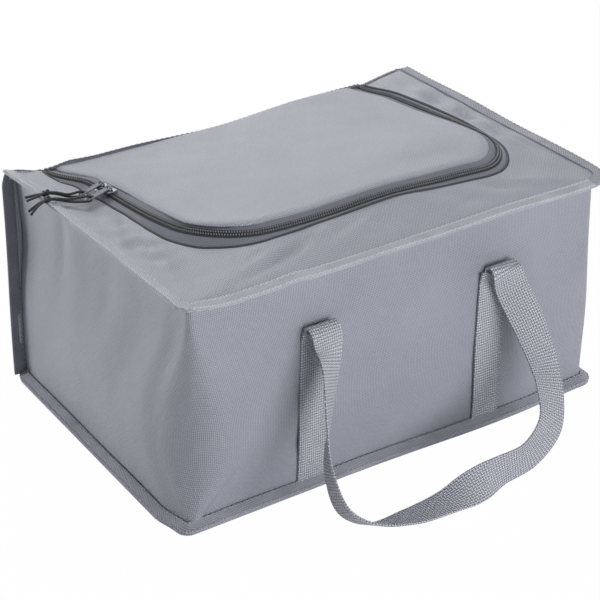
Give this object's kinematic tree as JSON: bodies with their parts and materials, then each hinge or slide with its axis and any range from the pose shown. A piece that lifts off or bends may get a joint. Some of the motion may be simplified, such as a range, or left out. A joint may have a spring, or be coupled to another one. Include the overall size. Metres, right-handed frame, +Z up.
{
  "type": "casserole carrier",
  "caption": "Soft insulated box bag with padded walls, a foil lining, a zipped fold-back lid and webbing handles, for carrying hot dishes.",
  "frame": {"origin": "on the floor, under the middle of the bag and its handles", "axes": "+X along the long front, +Y from the front handle to the back, +Z up"},
  "size_m": [0.4674, 0.52, 0.2253],
  "materials": {
    "cloth": "matt woven polyester",
    "binding": "ribbed binding tape",
    "webbing": "woven webbing with a slight sheen",
    "zip_tape": "fine woven tape",
    "coil": "nylon coil",
    "metal": "gunmetal plating",
    "cord": "braided cord",
    "foam": "closed-cell foam",
    "foil": "metallised film",
    "board": "plain board"
  },
  "bodies": {
    "bag": {"base_panel": "cloth", "base_binding": "binding", "wall_wrap": "cloth", "base_board": "board", "base_foam": "foam", "front_foam": "foam", "back_foam": "foam", "left_foam": "foam", "right_foam": "foam", "lining_tub": "foil", "zip_tape_body": "zip_tape", "zip_coil_body": "coil", "top_frame": "cloth", "top_binding": "binding", "top_frame_foam": "foam", "top_frame_lining": "foil", "back_panel": "cloth", "back_binding_left": "binding", "back_binding_right": "binding", "front_handle_leg_left": "webbing", "front_handle_leg_right": "webbing", "back_handle_leg_left": "webbing", "back_handle_leg_right": "webbing"},
    "lid": {"lid_panel": "cloth", "lid_binding": "binding", "lid_foam": "foam", "lid_lining": "foil", "zip_tape_lid": "zip_tape", "zip_coil_lid": "coil"},
    "front_handle": {"front_handle_loop": "webbing"},
    "back_handle": {"back_handle_loop": "webbing"},
    "slider_back": {"slider_back": "metal"},
    "slider_front": {"slider_front": "metal"},
    "pull_back": {"pull_back": "metal", "pull_cord_back": "cord"},
    "pull_front": {"pull_front": "metal", "pull_cord_front": "cord"}
  },
  "joints": [
    {"name": "lid_hinge", "type": "hinge", "parent": "bag", "child": "lid", "pos_m": [0, 0.1495, 0.205], "axis": [-1, 0, 0], "range_deg": [0, 180], "deforming": ["zip_tape_lid", "zip_coil_lid"]},
    {"name": "front_handle_swing", "type": "hinge", "parent": "bag", "child": "front_handle", "pos_m": [0, -0.1516, 0.155], "axis": [-1, 0, 0], "range_deg": [0, 110]},
    {"name": "back_handle_swing", "type": "hinge", "parent": "bag", "child": "back_handle", "pos_m": [0, 0.1516, 0.155], "axis": [-1, 0, 0], "range_deg": [-110, 0]},
    {"name": "slider_back_slide", "type": "slide", "parent": "bag", "child": "slider_back", "axis": [0, 0.997, -0.0774], "range_m": [0, 0.018], "deforming": ["pull_cord_back"]},
    {"name": "slider_front_slide", "type": "slide", "parent": "bag", "child": "slider_front", "axis": [0, -0.997, 0.0774], "range_m": [0, 0.09], "deforming": ["pull_cord_front"]},
    {"name": "pull_back_swing", "type": "hinge", "parent": "slider_back", "child": "pull_back", "pos_m": [-0.165, 0.07577, 0.21569], "axis": [0, 0.997, -0.0774], "range_deg": [0, 170], "deforming": ["pull_cord_back"]},
    {"name": "pull_front_swing", "type": "hinge", "parent": "slider_front", "child": "pull_front", "pos_m": [-0.165, 0.06181, 0.21678], "axis": [0, 0.997, -0.0774], "range_deg": [0, 170], "deforming": ["pull_cord_front"]}
  ]
}
